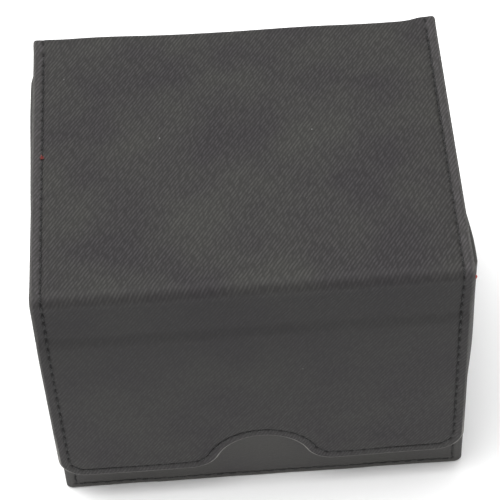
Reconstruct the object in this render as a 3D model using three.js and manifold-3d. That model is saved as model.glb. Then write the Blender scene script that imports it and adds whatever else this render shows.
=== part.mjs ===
// Trading-card deck box with a wrap-over magnetic flap.
//
// Millimetres, +Z up. The origin is the middle of the box's underside, +X runs to the right along the
// long side and the flap faces -Y. The box is drawn closed.
//
// Every wall is a sandwich: leathercloth outside, greyboard in the middle and a soft lining inside.
// One long twill cover runs up the back, over the lid, down a soft hinge band and down the flap. It is
// drawn as one section for each stiff panel, with a living-hinge strip where it folds.
//
//   box   stands on the table and holds the cards
//   lid   turns on the fold along the top of the back
//   band  the soft strip in front of the lid, turns on the lid's front fold
//   flap  turns on the crease under the band and is held shut by two pairs of magnets

import * as THREE from 'three';
import { mergeVertices } from 'three/addons/utils/BufferGeometryUtils.js';
import Module from 'manifold-3d';

const wasm = await Module();
wasm.setup();

// Overall size of the closed box.
const WIDTH = 107;
const DEPTH = 90;
const HEIGHT = 86;

// Layers of a wall, and the film of glue between them.
const LEATHER = 0.9;
const LINING = 0.8;
const GLUE = 0.1;
const BOX_BOARD = 2.4;
const LID_BOARD = 2.0;
const FLAP_BOARD = 1.6;

// Clearances of the closed box.
const LID_GAP = 0.3;
const FLAP_GAP = 0.4;
const FLOOR_GAP = 0.2;

// The two folds of the cover and the band between them.
const BACK_FOLD_RADIUS = 2.5;
const FRONT_FOLD_RADIUS = 3;
const FOLD_OVERLAP = 1;
const CREASE_HEIGHT = 71;
const CREASE_INSET = 0.6;
const CREASE_GAP = 0.3;

// The flap's outline.
const FLAP_BOTTOM = 11.4;
const FLAP_CORNER_RADIUS = 7.5;
const NOTCH_RADIUS = 12.5;
const NOTCH_DEPTH = 12.5;
const NOTCH_SHOULDER_RADIUS = 8;

// Small details.
const BOX_CORNER_RADIUS = 1.2;
const LID_EDGE_RADIUS = 0.8;
const SEAM_INSET = 2.2;
const BOTTOM_SEAM_INSET = 1.6;
const THREAD = 0.5;
const THREAD_HEIGHT = 0.3;
const GROOVE = 0.7;
const GROOVE_DEPTH = 0.35;
const MAGNET_DIAMETER = 10;
const MAGNET_THICKNESS = 1;
const MAGNET_X = 36;
const MAGNET_Z = 23;
const POCKET_CLEARANCE = 0.2;
const ARC_STEPS = 6;
const OVERCUT = 1;

// Planes that follow from the sizes above.
const HALF_WIDTH = WIDTH / 2;
const BACK = DEPTH / 2;
const FRONT = -DEPTH / 2;
const SHELL = LEATHER + GLUE;
const BOX_WALL = SHELL + BOX_BOARD + GLUE + LINING;
const LID_THICKNESS = SHELL + LID_BOARD + GLUE + LINING;
const FLAP_THICKNESS = SHELL + FLAP_BOARD + GLUE + LINING;
const BOX_FRONT = FRONT + FLAP_THICKNESS + FLAP_GAP;
const RIM = HEIGHT - LID_THICKNESS - LID_GAP;
const LID_UNDERSIDE = HEIGHT - LID_THICKNESS;
const LID_END = BACK - BACK_FOLD_RADIUS - FOLD_OVERLAP - 2 * GLUE;
const FLAP_TOP = CREASE_HEIGHT - CREASE_GAP;
const BAND_TOP = HEIGHT - FRONT_FOLD_RADIUS - FOLD_OVERLAP;
const INNER_HALF_WIDTH = HALF_WIDTH - BOX_WALL;

// ---------------------------------------------------------------------------------------- materials

const material = (name, color, roughness, metalness = 0) =>
  new THREE.MeshStandardMaterial({ name, color, roughness, metalness });

const twillLeather = material('twill_leather', 0x4a494a, 0.75);
const smoothLeather = material('smooth_leather', 0x4c4b4b, 0.65);
const redLining = material('red_lining', 0xa8322c, 0.95);
const greyboard = material('greyboard', 0x8d8677, 0.95);
const blackThread = material('black_thread', 0x161617, 0.8);
const magnetSteel = material('magnet_steel', 0xb9bbbd, 0.3, 1);

// ----------------------------------------------------------------------------------- shape helpers

function node(name, geometry, surface, x = 0, y = 0, z = 0) {
  const mesh = new THREE.Mesh(geometry, surface);
  mesh.name = name;
  mesh.position.set(x, y, z);
  return mesh;
}

// A block given by its lowest and highest corners.
function block(name, surface, low, high) {
  const size = high.map((value, axis) => value - low[axis]);
  const centre = high.map((value, axis) => (value + low[axis]) / 2);
  return node(name, new THREE.BoxGeometry(...size), surface, ...centre);
}

function toSolid(geometry) {
  const plain = geometry.clone();
  plain.deleteAttribute('normal');
  plain.deleteAttribute('uv');
  const merged = mergeVertices(plain);
  return new wasm.Manifold(new wasm.Mesh({
    numProp: 3,
    vertProperties: Float32Array.from(merged.attributes.position.array),
    triVerts: Uint32Array.from(merged.index.array),
  }));
}

function toGeometry(solid) {
  const mesh = solid.getMesh();
  const geometry = new THREE.BufferGeometry();
  geometry.setAttribute('position', new THREE.BufferAttribute(mesh.vertProperties, 3));
  geometry.setIndex(new THREE.BufferAttribute(mesh.triVerts, 1));
  geometry.computeVertexNormals();
  return geometry;
}

function cut(geometry, ...tools) {
  return toGeometry(tools.reduce((solid, tool) => solid.subtract(toSolid(tool)), toSolid(geometry)));
}

const extrude = (shape, depth) =>
  new THREE.ExtrudeGeometry(shape, { depth, bevelEnabled: false, curveSegments: ARC_STEPS });

// An outline in X and Y, standing up from the height `bottom`.
const standing = (shape, bottom, height) => extrude(shape, height).translate(0, 0, bottom);

// An outline in X and Z, as a sheet that reaches back from its face at y = `face`.
const upright = (shape, face, thickness) =>
  extrude(shape, thickness).rotateX(Math.PI / 2).translate(0, face + thickness, 0);

// An outline in Y and Z, as wide as `width` and centred on x = 0.
const acrossBox = new THREE.Matrix4().makeBasis(
  new THREE.Vector3(0, 1, 0),
  new THREE.Vector3(0, 0, 1),
  new THREE.Vector3(1, 0, 0),
);
const across = (shape, width) =>
  extrude(shape, width).translate(0, 0, -width / 2).applyMatrix4(acrossBox);

const shapeFrom = (points) => new THREE.Shape(points.map(([x, y]) => new THREE.Vector2(x, y)));

// Points along an arc, from one angle to another in radians.
function arcPoints(x, y, radius, from, to, steps = ARC_STEPS) {
  return Array.from({ length: steps + 1 }, (_, step) => {
    const angle = from + (to - from) * step / steps;
    return [x + radius * Math.cos(angle), y + radius * Math.sin(angle)];
  });
}

// A route through corner points [y, z, radius], with each corner rounded to its radius.
function roundedRoute(corners) {
  const route = new THREE.CurvePath();
  const points = corners.map(([y, z]) => new THREE.Vector2(y, z));
  let last = points[0];
  for (let i = 1; i < points.length - 1; i += 1) {
    const before = points[i - 1].clone().sub(points[i]).normalize();
    const after = points[i + 1].clone().sub(points[i]).normalize();
    const halfAngle = before.angleTo(after) / 2;
    const reach = corners[i][2] / Math.tan(halfAngle);
    const enter = points[i].clone().addScaledVector(before, reach);
    const leave = points[i].clone().addScaledVector(after, reach);
    route.add(new THREE.LineCurve(last, enter));
    const middle = before.clone().add(after).normalize();
    const centre = points[i].clone().addScaledVector(middle, corners[i][2] / Math.sin(halfAngle));
    const start = enter.clone().sub(centre).angle();
    const turn = Math.sign(before.cross(after)) * (Math.PI - 2 * halfAngle);
    const arc = new THREE.EllipseCurve(
      centre.x, centre.y, corners[i][2], corners[i][2], start, start - turn, turn > 0, 0);
    route.add(arc);
    last = leave;
  }
  route.add(new THREE.LineCurve(last, points[points.length - 1]));
  return route.curves.flatMap((curve, index) => {
    const steps = curve instanceof THREE.EllipseCurve ? ARC_STEPS : 1;
    return curve.getPoints(steps).slice(index === 0 ? 0 : 1);
  });
}

// A strip of even thickness that follows a rounded route.
function strip(corners, thickness) {
  const route = roundedRoute(corners);
  const side = (offset) => route.map((point, i) => {
    const ahead = route[Math.min(i + 1, route.length - 1)];
    const behind = route[Math.max(i - 1, 0)];
    const along = ahead.clone().sub(point).normalize().add(point.clone().sub(behind).normalize());
    along.normalize();
    return [point.x - along.y * offset, point.y + along.x * offset];
  });
  return shapeFrom([...side(thickness / 2), ...side(-thickness / 2).reverse()]);
}

// ------------------------------------------------------------------------------------ stitch lines

// A U of stitching on an upright panel: down one side, along the bottom and up the other side.
function panelSeam(bottom, top, halfThickness) {
  const edge = (offset) => {
    const x = HALF_WIDTH - SEAM_INSET - offset;
    const z = bottom + BOTTOM_SEAM_INSET + offset;
    return [[-x, top], [-x, z], [x, z], [x, top]];
  };
  return shapeFrom([...edge(-halfThickness), ...edge(halfThickness).reverse()]);
}

// The flap's outline moved inwards by `inset`, from its top left corner round to its top right.
function flapEdge(inset, top) {
  const side = HALF_WIDTH - inset;
  const corner = HALF_WIDTH - FLAP_CORNER_RADIUS;
  const cornerZ = FLAP_BOTTOM + FLAP_CORNER_RADIUS;
  const cornerRadius = FLAP_CORNER_RADIUS - inset;
  const notchZ = FLAP_BOTTOM + NOTCH_DEPTH - NOTCH_RADIUS;
  const shoulderZ = FLAP_BOTTOM + NOTCH_SHOULDER_RADIUS;
  const shoulderX = Math.sqrt((NOTCH_RADIUS + NOTCH_SHOULDER_RADIUS) ** 2 - (shoulderZ - notchZ) ** 2);
  const shoulderRadius = NOTCH_SHOULDER_RADIUS - inset;
  const meet = Math.atan2(shoulderZ - notchZ, shoulderX);
  return [
    [-side, top],
    ...arcPoints(-corner, cornerZ, cornerRadius, Math.PI, 1.5 * Math.PI),
    ...arcPoints(-shoulderX, shoulderZ, shoulderRadius, -Math.PI / 2, -meet),
    ...arcPoints(0, notchZ, NOTCH_RADIUS + inset, Math.PI - meet, meet, 2 * ARC_STEPS).slice(1, -1),
    ...arcPoints(shoulderX, shoulderZ, shoulderRadius, Math.PI + meet, 1.5 * Math.PI),
    ...arcPoints(corner, cornerZ, cornerRadius, 1.5 * Math.PI, 2 * Math.PI),
    [side, top],
  ];
}

const flapShape = (inset, top) => shapeFrom(flapEdge(inset, top));

const flapSeam = (halfThickness) => shapeFrom([
  ...flapEdge(SEAM_INSET - halfThickness, FLAP_TOP),
  ...flapEdge(SEAM_INSET + halfThickness, FLAP_TOP).reverse(),
]);

// ------------------------------------------------------------------------------------------ magnets

// A disc whose axis runs front to back.
const disc = (diameter, thickness, x, y, z) =>
  new THREE.CylinderGeometry(diameter / 2, diameter / 2, thickness, 4 * ARC_STEPS).translate(x, y, z);

// The pockets for one pair of magnets, opening at the panel's outer face.
function pockets(face) {
  const depth = MAGNET_THICKNESS + POCKET_CLEARANCE;
  return [-MAGNET_X, MAGNET_X].map((x) =>
    disc(MAGNET_DIAMETER + 2 * POCKET_CLEARANCE, 2 * depth, x, face, MAGNET_Z));
}

function magnets(prefix, face) {
  const y = face + MAGNET_THICKNESS / 2 + POCKET_CLEARANCE / 2;
  return [['left', -MAGNET_X], ['right', MAGNET_X]].map(([side, x]) => {
    const geometry = disc(MAGNET_DIAMETER, MAGNET_THICKNESS, 0, 0, 0);
    return node(`${prefix}_magnet_${side}`, geometry, magnetSteel, x, y, MAGNET_Z);
  });
}

// ---------------------------------------------------------------------------------------------- box

function bodySkin() {
  const outline = (offset, radius) => {
    const x = HALF_WIDTH - offset;
    const y = BOX_FRONT + offset;
    return [
      [-x, BACK - SHELL],
      ...arcPoints(-x + radius, y + radius, radius, Math.PI, 1.5 * Math.PI),
      ...arcPoints(x - radius, y + radius, radius, 1.5 * Math.PI, 2 * Math.PI),
      [x, BACK - SHELL],
    ];
  };
  const outer = outline(0, BOX_CORNER_RADIUS);
  const wall = shapeFrom([...outer, ...outline(LEATHER, BOX_CORNER_RADIUS - LEATHER).reverse()]);
  const lip = shapeFrom([...outer, ...outline(BOX_WALL, GLUE).reverse()]);
  const sides = toSolid(standing(wall, FLOOR_GAP, RIM - FLOOR_GAP));
  const turnedRim = toSolid(standing(lip, RIM - LEATHER, LEATHER));
  const seam = panelSeam(0, RIM, GROOVE / 2);
  const groove = toSolid(upright(seam, BOX_FRONT - GROOVE_DEPTH, 2 * GROOVE_DEPTH));
  return toGeometry(sides.add(turnedRim).subtract(groove));
}

function boxBody() {
  const skinFront = BOX_FRONT + SHELL;
  const liningFront = skinFront + BOX_BOARD + GLUE;
  const boardBack = BACK - SHELL - BOX_BOARD;
  const liningBack = boardBack - GLUE;
  const boardSide = HALF_WIDTH - SHELL;
  const liningSide = boardSide - BOX_BOARD - GLUE;
  const boardTop = RIM - SHELL;
  const floorTop = SHELL + BOX_BOARD;
  const liningBottom = floorTop + GLUE + LINING + GLUE;
  const group = new THREE.Group();

  const frontBoard = new THREE.BoxGeometry(2 * boardSide, BOX_BOARD, boardTop - SHELL)
    .translate(0, skinFront + BOX_BOARD / 2, (boardTop + SHELL) / 2);
  group.add(
    block('bottom_skin', smoothLeather, [-boardSide, skinFront, 0], [boardSide, BACK - SHELL, LEATHER]),
    node('body_skin', bodySkin(), smoothLeather),
    block('bottom_board', greyboard, [-liningSide, liningFront, SHELL], [liningSide, liningBack, floorTop]),
    node('front_board', cut(frontBoard, ...pockets(skinFront)), greyboard),
    block('back_board', greyboard, [-boardSide, boardBack, SHELL], [boardSide, BACK - SHELL, boardTop]),
    block('bottom_lining', redLining,
      [-liningSide, liningFront, floorTop + GLUE], [liningSide, liningBack, floorTop + GLUE + LINING]),
    block('front_lining', redLining,
      [-liningSide, liningFront, liningBottom], [liningSide, liningFront + LINING, boardTop]),
    block('back_lining', redLining,
      [-liningSide, liningBack - LINING, liningBottom], [liningSide, liningBack, boardTop]),
  );
  for (const [side, sign] of [['left', -1], ['right', 1]]) {
    const boardX = [sign * boardSide, sign * (liningSide + GLUE)].sort((a, b) => a - b);
    const liningX = [sign * liningSide, sign * INNER_HALF_WIDTH].sort((a, b) => a - b);
    const liningY = [liningFront + LINING + GLUE, liningBack - LINING - GLUE];
    group.add(
      block(`${side}_board`, greyboard,
        [boardX[0], liningFront, SHELL], [boardX[1], liningBack, boardTop]),
      block(`${side}_lining`, redLining,
        [liningX[0], liningY[0], liningBottom], [liningX[1], liningY[1], boardTop]),
    );
  }
  group.add(...magnets('front', skinFront));

  const frontThread = upright(panelSeam(0, RIM - LEATHER, THREAD / 2), BOX_FRONT, THREAD_HEIGHT);
  group.add(node('front_seam_thread', frontThread, blackThread));

  // The back panel of the cover, from just above the table to the start of the back fold.
  const coverTop = HEIGHT - BACK_FOLD_RADIUS - FOLD_OVERLAP;
  const cover = new THREE.BoxGeometry(WIDTH, LEATHER, coverTop - FLOOR_GAP)
    .translate(0, BACK - LEATHER / 2, (coverTop + FLOOR_GAP) / 2);
  const groove = upright(panelSeam(0, HEIGHT, GROOVE / 2), BACK - GROOVE_DEPTH, 2 * GROOVE_DEPTH);
  const threadFace = BACK - THREAD_HEIGHT;
  const backThread = upright(panelSeam(0, coverTop, THREAD / 2), threadFace, THREAD_HEIGHT);
  group.add(
    node('back_cover_skin', cut(cover, groove), twillLeather),
    node('back_seam_thread', backThread, blackThread),
  );
  return group;
}

// ---------------------------------------------------------------------------------------------- lid

// The cover over the lid: a sheet with its two sides turned down round the board.
function lidSkin() {
  const inside = HALF_WIDTH - LEATHER;
  const corner = HALF_WIDTH - LID_EDGE_RADIUS;
  const cornerZ = HEIGHT - LID_EDGE_RADIUS;
  const profile = shapeFrom([
    [-inside, LID_UNDERSIDE],
    [-inside, HEIGHT - LEATHER],
    [inside, HEIGHT - LEATHER],
    [inside, LID_UNDERSIDE],
    [HALF_WIDTH, LID_UNDERSIDE],
    ...arcPoints(corner, cornerZ, LID_EDGE_RADIUS, 0, Math.PI / 2),
    ...arcPoints(-corner, cornerZ, LID_EDGE_RADIUS, Math.PI / 2, Math.PI),
    [-HALF_WIDTH, LID_UNDERSIDE],
  ]);
  const sheet = upright(profile, -LID_END, 2 * LID_END);
  const grooves = [-1, 1].map((sign) =>
    new THREE.BoxGeometry(GROOVE, 2 * LID_END + OVERCUT, 2 * GROOVE_DEPTH)
      .translate(sign * (HALF_WIDTH - SEAM_INSET), 0, HEIGHT));
  return cut(sheet, ...grooves);
}

// The living hinge along the top of the back. The leather rounds the outside of the fold and the
// lining dips between the edges of the back board and the lid board, so that the fold can open.
function backFold() {
  const leatherMiddle = LEATHER / 2;
  const liningMiddle = LEATHER + 2 * GLUE + LINING / 2;
  const leather = strip([
    [BACK - leatherMiddle, HEIGHT - BACK_FOLD_RADIUS - FOLD_OVERLAP + GLUE],
    [BACK - leatherMiddle, HEIGHT - leatherMiddle, BACK_FOLD_RADIUS - leatherMiddle],
    [LID_END + GLUE, HEIGHT - leatherMiddle],
  ], LEATHER);
  const wallTop = RIM - LINING / 2 - GLUE;
  const lidFace = LID_END - LINING / 2 - GLUE;
  const lining = strip([
    [BACK - BOX_WALL, wallTop],
    [BACK - liningMiddle, wallTop, LINING / 2],
    [BACK - liningMiddle, HEIGHT - liningMiddle, BACK_FOLD_RADIUS - liningMiddle],
    [lidFace, HEIGHT - liningMiddle, LINING / 2],
    [lidFace, LID_UNDERSIDE],
  ], LINING);
  return [
    node('back_fold_leather', across(leather, WIDTH), twillLeather),
    node('back_fold_lining', across(lining, 2 * INNER_HALF_WIDTH - 2 * GLUE), redLining),
  ];
}

function lidBody() {
  const side = HALF_WIDTH - SHELL;
  const end = LID_END - LINING - 2 * GLUE;
  const boardBottom = LID_UNDERSIDE + LINING + GLUE;
  const group = new THREE.Group();
  group.add(
    node('lid_cover_skin', lidSkin(), twillLeather),
    block('lid_board', greyboard, [-side, -end, boardBottom], [side, end, boardBottom + LID_BOARD]),
    block('lid_lining', redLining, [-side, -end, LID_UNDERSIDE], [side, end, LID_UNDERSIDE + LINING]),
    ...backFold(),
  );
  for (const [name, sign] of [['left', -1], ['right', 1]]) {
    const x = sign * (HALF_WIDTH - SEAM_INSET);
    group.add(block(`lid_seam_thread_${name}`, blackThread,
      [x - THREAD / 2, -LID_END, HEIGHT - THREAD_HEIGHT], [x + THREAD / 2, LID_END, HEIGHT]));
  }
  return group;
}

// --------------------------------------------------------------------------------------------- band

// The living hinge at the lid's front edge.
function frontFold() {
  const leatherMiddle = LEATHER / 2;
  const liningMiddle = LEATHER + 2 * GLUE + LINING / 2;
  const leather = strip([
    [-LID_END - GLUE, HEIGHT - leatherMiddle],
    [FRONT + leatherMiddle, HEIGHT - leatherMiddle, FRONT_FOLD_RADIUS - leatherMiddle],
    [FRONT + leatherMiddle, BAND_TOP + GLUE],
  ], LEATHER);
  const lidFace = -LID_END + LINING / 2 + GLUE;
  const lining = strip([
    [lidFace, LID_UNDERSIDE],
    [lidFace, HEIGHT - liningMiddle, LINING / 2],
    [FRONT + liningMiddle, HEIGHT - liningMiddle, FRONT_FOLD_RADIUS - liningMiddle],
    [FRONT + liningMiddle, BAND_TOP + GLUE],
  ], LINING);
  return [
    node('front_fold_leather', across(leather, WIDTH), twillLeather),
    node('front_fold_lining', across(lining, WIDTH - 2 * SHELL), redLining),
  ];
}

// A flat layer of the band that leans in from the fold to the crease, `depth` behind the outer face.
function bandLayer(depth, thickness, width) {
  const middle = FRONT + depth + thickness / 2;
  return across(strip([[middle, BAND_TOP], [middle + CREASE_INSET, CREASE_HEIGHT]], thickness), width);
}

function bandBody() {
  const group = new THREE.Group();
  const grooveCutters = [-1, 1].map((sign) =>
    bandLayer(-GROOVE_DEPTH, 2 * GROOVE_DEPTH, GROOVE).translate(sign * (HALF_WIDTH - SEAM_INSET), 0, 0));
  group.add(
    ...frontFold(),
    node('band_leather', cut(bandLayer(0, LEATHER, WIDTH), ...grooveCutters), twillLeather),
    node('band_lining', bandLayer(LEATHER + 2 * GLUE, LINING, WIDTH - 2 * SHELL), redLining),
  );
  for (const [name, sign] of [['left', -1], ['right', 1]]) {
    const thread = bandLayer(0, THREAD_HEIGHT, THREAD);
    const x = sign * (HALF_WIDTH - SEAM_INSET);
    group.add(node(`band_seam_thread_${name}`, thread, blackThread, x));
  }
  return group;
}

// --------------------------------------------------------------------------------------------- flap

function flapBody() {
  const boardFace = FRONT + SHELL;
  const liningFace = boardFace + FLAP_BOARD + GLUE;
  const aboveTop = FLAP_TOP + OVERCUT;
  const group = new THREE.Group();

  const skin = cut(
    upright(flapShape(0, FLAP_TOP), FRONT, FLAP_THICKNESS),
    upright(flapShape(LEATHER, aboveTop), FRONT + LEATHER, FLAP_THICKNESS),
    upright(flapSeam(GROOVE / 2), FRONT - GROOVE_DEPTH, 2 * GROOVE_DEPTH),
  );
  const board = cut(upright(flapShape(SHELL, FLAP_TOP), boardFace, FLAP_BOARD), ...pockets(boardFace));
  group.add(
    node('flap_cover_skin', skin, twillLeather),
    node('flap_board', board, greyboard),
    node('flap_lining', upright(flapShape(SHELL, FLAP_TOP), liningFace, LINING), redLining),
    node('flap_seam_thread', upright(flapSeam(THREAD / 2), FRONT, THREAD_HEIGHT), blackThread),
    ...magnets('flap', boardFace),
  );
  return group;
}

// -------------------------------------------------------------------------------------------- whole

const deckBox = new THREE.Group();
deckBox.add(boxBody(), lidBody(), bandBody(), flapBody());

export default deckBox;
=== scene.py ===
"""The looks of the card deck box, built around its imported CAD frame.

Lengths in this script are millimetres, in the frame's own axes, and become metres when a mesh or a
lamp is made. The twill cover is one long sheet. A place on it is (x, s): s runs up the back, over the
lid and down the band and the flap. Height is measured out of the sheet's face, depth into it.
"""

import math

import bmesh
import bpy
import numpy as np
from mathutils import Matrix, Vector
from mathutils.geometry import delaunay_2d_cdt


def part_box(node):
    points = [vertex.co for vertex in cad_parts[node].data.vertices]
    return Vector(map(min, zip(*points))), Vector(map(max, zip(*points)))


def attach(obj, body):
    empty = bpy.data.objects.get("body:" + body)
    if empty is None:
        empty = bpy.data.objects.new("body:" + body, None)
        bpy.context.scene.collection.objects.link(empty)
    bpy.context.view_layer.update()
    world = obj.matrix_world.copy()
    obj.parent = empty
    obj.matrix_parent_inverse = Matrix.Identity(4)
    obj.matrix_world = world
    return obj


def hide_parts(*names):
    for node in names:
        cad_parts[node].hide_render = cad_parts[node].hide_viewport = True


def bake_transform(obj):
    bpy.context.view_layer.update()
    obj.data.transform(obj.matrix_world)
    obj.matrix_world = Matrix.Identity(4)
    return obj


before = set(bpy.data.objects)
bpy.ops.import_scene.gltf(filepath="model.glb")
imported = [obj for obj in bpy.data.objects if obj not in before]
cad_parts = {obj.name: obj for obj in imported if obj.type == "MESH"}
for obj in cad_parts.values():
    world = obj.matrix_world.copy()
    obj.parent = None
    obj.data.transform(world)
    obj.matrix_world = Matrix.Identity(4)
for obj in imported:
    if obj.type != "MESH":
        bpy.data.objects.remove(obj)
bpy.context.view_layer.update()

MM = 0.001


def box_mm(node):
    low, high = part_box(node)
    return low / MM, high / MM


# ---------------- sizes from the frame

LID_LOW, LID_HIGH = box_mm("lid_cover_skin")
BACK_LOW, BACK_HIGH = box_mm("back_cover_skin")
FLAP_LOW, FLAP_HIGH = box_mm("flap_cover_skin")
BODY_LOW, BODY_HIGH = box_mm("body_skin")
FLAP_LINING_LOW, FLAP_LINING_HIGH = box_mm("flap_lining")
LINING_HIGH = box_mm("left_lining")[1]

HALF = LID_HIGH.x
TOP = LID_HIGH.z
BACK = BACK_HIGH.y
FRONT = FLAP_LOW.y
RIM = BODY_HIGH.z
BODY_FRONT = BODY_LOW.y
BODY_BACK = BODY_HIGH.y
INNER_HALF = -LINING_HIGH.x
LID_THICKNESS = TOP - LID_LOW.z
FLAP_THICKNESS = FLAP_HIGH.y - FRONT

# ---------------- driving sizes

LEATHER = 0.85
LINING = FLAP_LINING_HIGH.y - FLAP_LINING_LOW.y
BACK_FOLD_RADIUS = 2.5
FRONT_FOLD_RADIUS = 3.0
BAND_LEAN = 0.45
CREASE_HEIGHT = FLAP_HIGH.z + 0.2
FLAP_SHOULDER = 3.4
FLAP_CORNER = 7.5
FLAP_SKEW = 0.55
NOTCH = 12.5
NOTCH_SHOULDER = 8.0
SEAM_INSET = 2.75
BODY_SEAM_INSET = 2.2
BOTTOM_SEAM = 1.6
PITCH = 3.4
STATION = PITCH / 8
MARGIN_INSET = 4.8
EDGE_ROUND = 0.9
EDGE_ROUND_BACK = 0.35
THREAD_RADIUS = 0.23
BAND_BEND_RADIUS = 9.0
FLAP_BEND_RADIUS = 12.0
JOIN_ABOVE_CREASE = 6.5
LID_CREEP = 0.45
FLAP_CREEP = 0.4


def unit(vector):
    return vector / np.linalg.norm(vector, axis=-1, keepdims=True)


def smooth(low, high, value):
    """0 below low, 1 above high (or the other way round), and an even curve between."""
    t = np.clip((value - low) / (high - low), 0, 1)
    return t * t * (3 - 2 * t)


def bell(distance, width):
    return np.exp(-((distance / width) ** 2))


def distance_along(points):
    """The distance from the first point to each, along their line."""
    return np.concatenate([[0], np.cumsum(np.linalg.norm(np.diff(points, axis=0), axis=1))])


# ---------------- routes

class Route:
    """A line of straight runs and round corners in a plane. A corner is (a, b, radius)."""

    ARC_STEPS = 24

    def __init__(self, corners):
        points = [np.array(corners[0][:2], float)]
        for before, here, after in zip(corners, corners[1:], corners[2:]):
            points += self.arc(*(np.array(c[:2], float) for c in (before, here, after)), here[2])
        points.append(np.array(corners[-1][:2], float))
        kept = [points[0]] + [p for q, p in zip(points, points[1:]) if np.linalg.norm(p - q) > 1e-6]
        self.points = np.array(kept)
        self.s = distance_along(self.points)
        self.length = self.s[-1]
        tangents = unit(np.gradient(self.points, self.s, axis=0))
        self.normals = np.stack([tangents[:, 1], -tangents[:, 0]], axis=1)

    def arc(self, before, here, after, radius):
        back, ahead = unit(before - here), unit(after - here)
        half = math.acos(np.clip(back @ ahead, -1, 1)) / 2
        centre = here + unit(back + ahead) * radius / math.sin(half)
        start = here + back * radius / math.tan(half) - centre
        end = here + ahead * radius / math.tan(half) - centre
        sweep = math.pi - 2 * half
        turns = np.linspace(0, 1, self.ARC_STEPS + 1)
        return [
            centre + (start * math.sin((1 - t) * sweep) + end * math.sin(t * sweep)) / math.sin(sweep)
            for t in turns
        ]

    def at(self, s):
        return np.stack([np.interp(s, self.s, self.points[:, k]) for k in (0, 1)], axis=-1)

    def out(self, s):
        return unit(np.stack([np.interp(s, self.s, self.normals[:, k]) for k in (0, 1)], axis=-1))

    def nearest(self, a, b):
        return self.s[np.argmin(np.hypot(self.points[:, 0] - a, self.points[:, 1] - b))]


COVER = Route([
    (BACK, BACK_LOW.z),
    (BACK, TOP, BACK_FOLD_RADIUS),
    (FRONT, TOP, FRONT_FOLD_RADIUS),
    (FRONT + BAND_LEAN, CREASE_HEIGHT, BAND_BEND_RADIUS),
    (FRONT, CREASE_HEIGHT - FLAP_SHOULDER, FLAP_BEND_RADIUS),
    (FRONT, FLAP_LOW.z),
])
S_BACK_FOLD = TOP - BACK_FOLD_RADIUS - BACK_LOW.z
S_LID = S_BACK_FOLD + BACK_FOLD_RADIUS * math.pi / 2
S_LID_END = S_LID + (BACK - BACK_FOLD_RADIUS) - (FRONT + FRONT_FOLD_RADIUS)
S_MIDDLE_OF_LID = (S_LID + S_LID_END) / 2
S_END = COVER.length
S_CREASE = COVER.nearest(FRONT + BAND_LEAN, CREASE_HEIGHT)
S_MIDDLE_OF_BAND = S_CREASE - JOIN_ABOVE_CREASE


def spread(x, s):
    """How far the sheet has crept outwards: evenly on the lid, and only to the left on the flap."""
    on_lid = smooth(S_BACK_FOLD - 12, S_BACK_FOLD, s)
    past_fold = smooth(S_LID_END - 4, S_CREASE + 12, s)
    left = LID_CREEP * on_lid + FLAP_CREEP * past_fold
    right = LID_CREEP * on_lid * (1 - past_fold)
    return x / HALF * np.where(x < 0, left, right)


def on_cover(x, s, height):
    """Places on the cover, as points in the frame. The flap is glued on askew, higher at the right."""
    along = s - FLAP_SKEW * x / HALF * smooth(S_CREASE, S_END, s)
    place, out = COVER.at(along), COVER.out(along)
    return np.stack([
        x + spread(x, s),
        place[..., 0] + out[..., 0] * height,
        place[..., 1] + out[..., 1] * height,
    ], axis=-1)


BACK_SHEET = 0.95
BACK_FOLD_SHEET = 1.6
FRONT_FOLD_SHEET = 1.05


def cover_thickness(s):
    """How deep the cover's turned edge reaches: a bare sheet at the folds, a full panel elsewhere."""
    lid_from, lid_to = S_LID + 1.0, S_LID_END - 0.6
    knots = [
        (S_BACK_FOLD - 1.6, BACK_SHEET),
        (S_BACK_FOLD - 0.4, BACK_FOLD_SHEET),
        (lid_from - 0.4, BACK_FOLD_SHEET),
        (lid_from + 0.8, LID_THICKNESS),
        (lid_to - 0.8, LID_THICKNESS),
        (lid_to + 0.4, FRONT_FOLD_SHEET),
        (S_CREASE + 0.8, FRONT_FOLD_SHEET),
        (S_CREASE + 2.0, FLAP_THICKNESS),
    ]
    return np.interp(s, *zip(*knots))


# ---------------- the flap's outline

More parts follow.
